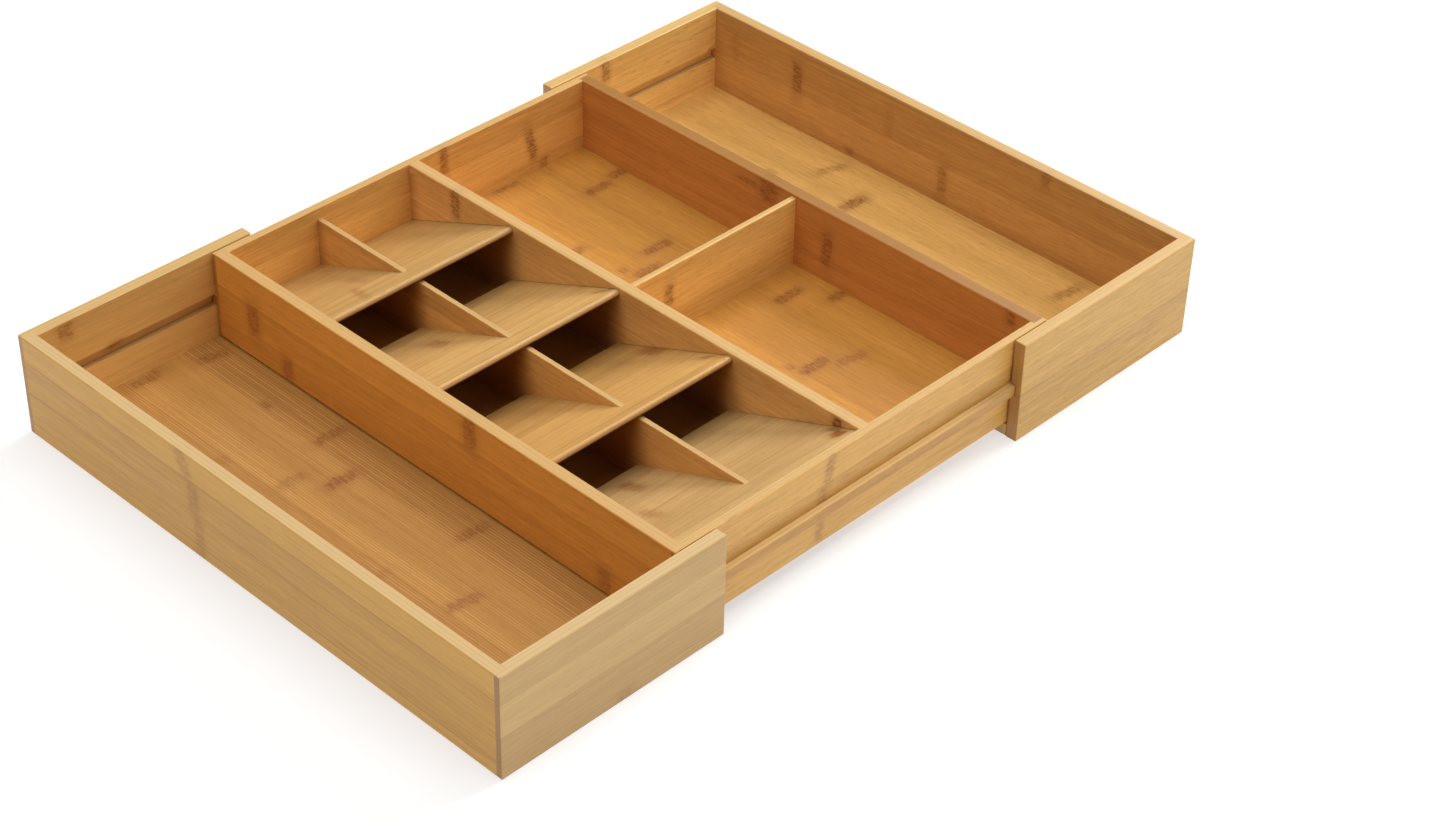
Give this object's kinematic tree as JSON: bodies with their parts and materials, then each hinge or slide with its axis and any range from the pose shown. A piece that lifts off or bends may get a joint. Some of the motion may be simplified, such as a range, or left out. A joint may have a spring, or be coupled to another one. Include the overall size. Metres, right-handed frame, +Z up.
{
  "type": "expanding drawer organiser",
  "caption": "Expanding bamboo drawer organiser: an open centre tray with compartments and sloped ramps, and end trays that slide over it to widen it.",
  "frame": {"origin": "middle of the footprint, on the surface that the end trays rest on, with both end trays pulled out to their full length", "axes": "+X along the way the trays slide, towards the plain end tray beside the two square compartments; +Y across, towards the rear wall, where the ramps start low; +Z up"},
  "size_m": [0.56, 0.4, 0.068],
  "materials": {
    "bamboo_tray_walls": "satin clear lacquer over pale bamboo",
    "bamboo_centre_walls": "satin clear lacquer over pale bamboo",
    "bamboo_floors": "satin clear lacquer over strip-laminated bamboo",
    "bamboo_ramps": "satin clear lacquer over pale bamboo"
  },
  "bodies": {
    "centre_tray": {"centre_front_wall": "bamboo_centre_walls", "centre_rear_wall": "bamboo_centre_walls", "centre_left_wall": "bamboo_centre_walls", "centre_right_wall": "bamboo_centre_walls", "centre_floor": "bamboo_floors", "section_divider": "bamboo_centre_walls", "compartment_divider": "bamboo_centre_walls", "ramp_1": "bamboo_ramps", "ramp_2": "bamboo_ramps", "ramp_3": "bamboo_ramps", "ramp_4": "bamboo_ramps", "ramp_fin_1": "bamboo_ramps", "ramp_fin_2": "bamboo_ramps", "ramp_fin_3": "bamboo_ramps", "ramp_fin_4": "bamboo_ramps", "front_rail": "bamboo_centre_walls", "rear_rail": "bamboo_centre_walls"},
    "left_tray": {"left_tray_end_wall": "bamboo_tray_walls", "left_tray_front_wall": "bamboo_tray_walls", "left_tray_rear_wall": "bamboo_tray_walls", "left_tray_floor": "bamboo_floors"},
    "right_tray": {"right_tray_end_wall": "bamboo_tray_walls", "right_tray_front_wall": "bamboo_tray_walls", "right_tray_rear_wall": "bamboo_tray_walls", "right_tray_floor": "bamboo_floors"}
  },
  "joints": [
    {"name": "left_tray_slide", "type": "slide", "parent": "centre_tray", "child": "left_tray", "axis": [1, 0, 0], "range_m": [0, 0.12]},
    {"name": "right_tray_slide", "type": "slide", "parent": "centre_tray", "child": "right_tray", "axis": [-1, 0, 0], "range_m": [0, 0.12]}
  ]
}
